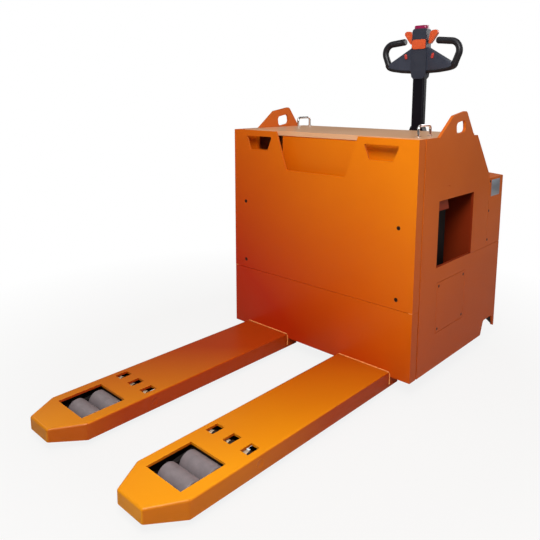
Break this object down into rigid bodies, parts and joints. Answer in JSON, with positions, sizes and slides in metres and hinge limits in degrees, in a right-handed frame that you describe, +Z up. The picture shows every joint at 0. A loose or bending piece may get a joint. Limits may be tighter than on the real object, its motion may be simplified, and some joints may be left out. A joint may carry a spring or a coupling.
{
  "type": "electric pallet truck",
  "caption": "Heavy electric pallet truck with two roller forks, a rising load face, a battery bay and a tiller.",
  "frame": {"origin": "middle of the footprint on the floor", "axes": "+Z up, +Y from the fork tips towards the tiller, +X to the truck's right side seen from the forks' tips"},
  "size_m": [0.928, 1.94, 1.452],
  "materials": {
    "orange_paint": "semi-gloss powder coat",
    "lid_paint": "gloss enamel",
    "black_screw": "blackened",
    "zinc_steel": "zinc plated",
    "handle_chrome": "polished",
    "battery_case": "satin",
    "black_plastic": "satin",
    "plate_aluminium": "brushed",
    "cast_iron_black": "painted black",
    "black_enamel": "satin black",
    "controller_aluminium": "anodised",
    "rod_chrome": "polished",
    "brass_shaft": "worn",
    "dark_steel": "oiled",
    "bogie_paint": "red-brown primer",
    "roller_polyurethane": "satin",
    "drive_tread": "satin",
    "caster_tread": "satin",
    "head_plastic": "fine grain",
    "grip_rubber": "matte",
    "crimson_plastic": "gloss",
    "orange_plastic": "gloss",
    "red_plastic": "gloss"
  },
  "bodies": {
    "chassis": {"side_plate_right": "orange_paint", "side_plate_left": "orange_paint", "chassis_frame": "orange_paint", "upper_bulkhead": "orange_paint", "access_cover_right": "orange_paint", "access_cover_left": "orange_paint", "cover_screws": "black_screw", "lid_hinges": "zinc_steel", "battery_pack": "battery_case", "rear_hood": "orange_paint", "rear_skirt": "orange_paint", "blank_plate": "plate_aluminium", "turntable_ring": "cast_iron_black", "hydraulic_tank": "black_enamel", "pump_motor": "black_enamel", "lift_cylinder": "black_enamel", "motor_controller": "controller_aluminium", "instrument_panel": "orange_paint", "battery_gauge": "black_plastic"},
    "lid": {"battery_lid": "lid_paint", "lid_handles": "handle_chrome"},
    "load_section": {"fork_right": "orange_paint", "fork_left": "orange_paint", "load_plate": "orange_paint", "lift_mast": "orange_paint", "load_panel": "orange_paint", "load_panel_screws": "black_screw", "lift_rod": "rod_chrome", "arm_shafts": "brass_shaft"},
    "torsion": {"torsion_shaft": "dark_steel"},
    "pull_rod_right": {"pull_rod_right": "dark_steel"},
    "pull_rod_left": {"pull_rod_left": "dark_steel"},
    "roller_arm_right": {"roller_arm_right": "dark_steel"},
    "roller_arm_left": {"roller_arm_left": "dark_steel"},
    "bogie_right": {"bogie_right": "bogie_paint"},
    "bogie_left": {"bogie_left": "bogie_paint"},
    "front_roller_right": {"front_roller_right": "roller_polyurethane"},
    "rear_roller_right": {"rear_roller_right": "roller_polyurethane"},
    "front_roller_left": {"front_roller_left": "roller_polyurethane"},
    "rear_roller_left": {"rear_roller_left": "roller_polyurethane"},
    "drive_unit": {"drive_gearbox": "cast_iron_black", "drive_motor": "black_enamel", "steering_turret": "cast_iron_black"},
    "drive_wheel": {"drive_hub": "cast_iron_black", "drive_tyre": "drive_tread"},
    "tiller": {"tiller_tube": "black_enamel", "tiller_head": "head_plastic", "tiller_grips": "grip_rubber"},
    "belly_button": {"belly_button": "crimson_plastic"},
    "horn_button": {"horn_button": "orange_plastic"},
    "thumb_lever_right": {"thumb_lever_right": "orange_plastic"},
    "thumb_lever_left": {"thumb_lever_left": "orange_plastic"},
    "lift_button": {"lift_button": "red_plastic"},
    "lower_button": {"lower_button": "red_plastic"},
    "caster_fork_right": {"caster_fork_right": "zinc_steel"},
    "caster_fork_left": {"caster_fork_left": "zinc_steel"},
    "caster_wheel_right": {"caster_wheel_right": "caster_tread"},
    "caster_wheel_left": {"caster_wheel_left": "caster_tread"},
    "emergency_stop": {"emergency_stop": "red_plastic"},
    "key_switch": {"key_switch": "zinc_steel"}
  },
  "joints": [
    {"name": "load_lift", "type": "slide", "parent": "chassis", "child": "load_section", "axis": [0, 0, 1], "range_m": [0, 0.11]},
    {"name": "torsion_turn", "type": "hinge", "parent": "load_section", "child": "torsion", "pos_m": [0, 0.136, 0.125], "axis": [1, 0, 0], "range_deg": [0, 11.71]},
    {"name": "lid_open", "type": "hinge", "parent": "chassis", "child": "lid", "pos_m": [0, 0.575, 0.96], "axis": [-1, 0, 0], "range_deg": [0, 60]},
    {"name": "pull_rod_right_slide", "type": "slide", "parent": "load_section", "child": "pull_rod_right", "axis": [0, 1, 0], "range_m": [0, 0.01869]},
    {"name": "roller_arm_right_swing", "type": "hinge", "parent": "load_section", "child": "roller_arm_right", "pos_m": [0.2585, -0.602, 0.056], "axis": [1, 0, 0], "range_deg": [0, 45.82]},
    {"name": "bogie_right_tilt", "type": "hinge", "parent": "roller_arm_right", "child": "bogie_right", "pos_m": [0.2585, -0.763, 0.038], "axis": [1, 0, 0], "range_deg": [-45.82, 0]},
    {"name": "front_roller_right_spin", "type": "hinge", "parent": "bogie_right", "child": "front_roller_right", "pos_m": [0.2585, -0.803, 0.038], "axis": [1, 0, 0], "continuous": true},
    {"name": "rear_roller_right_spin", "type": "hinge", "parent": "bogie_right", "child": "rear_roller_right", "pos_m": [0.2585, -0.723, 0.038], "axis": [1, 0, 0], "continuous": true},
    {"name": "pull_rod_left_slide", "type": "slide", "parent": "load_section", "child": "pull_rod_left", "axis": [0, 1, 0], "range_m": [0, 0.01869]},
    {"name": "roller_arm_left_swing", "type": "hinge", "parent": "load_section", "child": "roller_arm_left", "pos_m": [-0.2585, -0.602, 0.056], "axis": [1, 0, 0], "range_deg": [0, 45.82]},
    {"name": "bogie_left_tilt", "type": "hinge", "parent": "roller_arm_left", "child": "bogie_left", "pos_m": [-0.2585, -0.763, 0.038], "axis": [1, 0, 0], "range_deg": [-45.82, 0]},
    {"name": "front_roller_left_spin", "type": "hinge", "parent": "bogie_left", "child": "front_roller_left", "pos_m": [-0.2585, -0.803, 0.038], "axis": [1, 0, 0], "continuous": true},
    {"name": "rear_roller_left_spin", "type": "hinge", "parent": "bogie_left", "child": "rear_roller_left", "pos_m": [-0.2585, -0.723, 0.038], "axis": [1, 0, 0], "continuous": true},
    {"name": "steering", "type": "hinge", "parent": "chassis", "child": "drive_unit", "pos_m": [0, 0.79, 0.262], "axis": [0, 0, 1], "range_deg": [-90, 90]},
    {"name": "drive_wheel_spin", "type": "hinge", "parent": "drive_unit", "child": "drive_wheel", "pos_m": [0, 0.79, 0.115], "axis": [1, 0, 0], "continuous": true},
    {"name": "tiller_tilt", "type": "hinge", "parent": "drive_unit", "child": "tiller", "pos_m": [0, 0.917, 0.828], "axis": [-1, 0, 0], "range_deg": [0, 85], "stiffness_Nm_per_rad": 26, "springref_deg": -20.05},
    {"name": "belly_button_push", "type": "slide", "parent": "tiller", "child": "belly_button", "axis": [0, 0, -1], "range_m": [0, 0.008], "stiffness_N_per_m": 900},
    {"name": "horn_button_push", "type": "slide", "parent": "tiller", "child": "horn_button", "axis": [0, 1, 0], "range_m": [0, 0.003], "stiffness_N_per_m": 900},
    {"name": "thumb_lever_right_turn", "type": "hinge", "parent": "tiller", "child": "thumb_lever_right", "pos_m": [0, 0.917, 1.376], "axis": [1, 0, 0], "range_deg": [-25, 25], "stiffness_Nm_per_rad": 1.5},
    {"name": "thumb_lever_left_turn", "type": "hinge", "parent": "tiller", "child": "thumb_lever_left", "pos_m": [0, 0.917, 1.376], "axis": [1, 0, 0], "range_deg": [-25, 25], "stiffness_Nm_per_rad": 1.5},
    {"name": "lift_button_push", "type": "slide", "parent": "tiller", "child": "lift_button", "axis": [0, 1, 0], "range_m": [0, 0.003], "stiffness_N_per_m": 600},
    {"name": "lower_button_push", "type": "slide", "parent": "tiller", "child": "lower_button", "axis": [0, 1, 0], "range_m": [0, 0.003], "stiffness_N_per_m": 600},
    {"name": "caster_right_swivel", "type": "hinge", "parent": "chassis", "child": "caster_fork_right", "pos_m": [0.34, 0.74, 0.12], "axis": [0, 0, 1], "continuous": true},
    {"name": "caster_right_roll", "type": "hinge", "parent": "caster_fork_right", "child": "caster_wheel_right", "pos_m": [0.34, 0.77, 0.05], "axis": [1, 0, 0], "continuous": true},
    {"name": "caster_left_swivel", "type": "hinge", "parent": "chassis", "child": "caster_fork_left", "pos_m": [-0.34, 0.74, 0.12], "axis": [0, 0, 1], "continuous": true},
    {"name": "caster_left_roll", "type": "hinge", "parent": "caster_fork_left", "child": "caster_wheel_left", "pos_m": [-0.34, 0.77, 0.05], "axis": [1, 0, 0], "continuous": true},
    {"name": "emergency_stop_push", "type": "slide", "parent": "chassis", "child": "emergency_stop", "axis": [0, -0.7844, -0.6202], "range_m": [0, 0.005]},
    {"name": "key_turn", "type": "hinge", "parent": "chassis", "child": "key_switch", "pos_m": [0.25, 0.66176, 0.83858], "axis": [0, 0.7844, 0.6202], "range_deg": [0, 90]}
  ],
  "couplings": [
    {"joint": "torsion_turn", "follows": "load_lift", "rad_per_m": 1.8579},
    {"joint": "thumb_lever_left_turn", "follows": "thumb_lever_right_turn", "ratio": 1},
    {"joint": "pull_rod_right_slide", "follows": "load_lift", "ratio": 0.16986},
    {"joint": "roller_arm_right_swing", "follows": "load_lift", "rad_per_m": 7.2695},
    {"joint": "bogie_right_tilt", "follows": "load_lift", "rad_per_m": -7.2695},
    {"joint": "pull_rod_left_slide", "follows": "load_lift", "ratio": 0.16986},
    {"joint": "roller_arm_left_swing", "follows": "load_lift", "rad_per_m": 7.2695},
    {"joint": "bogie_left_tilt", "follows": "load_lift", "rad_per_m": -7.2695}
  ]
}
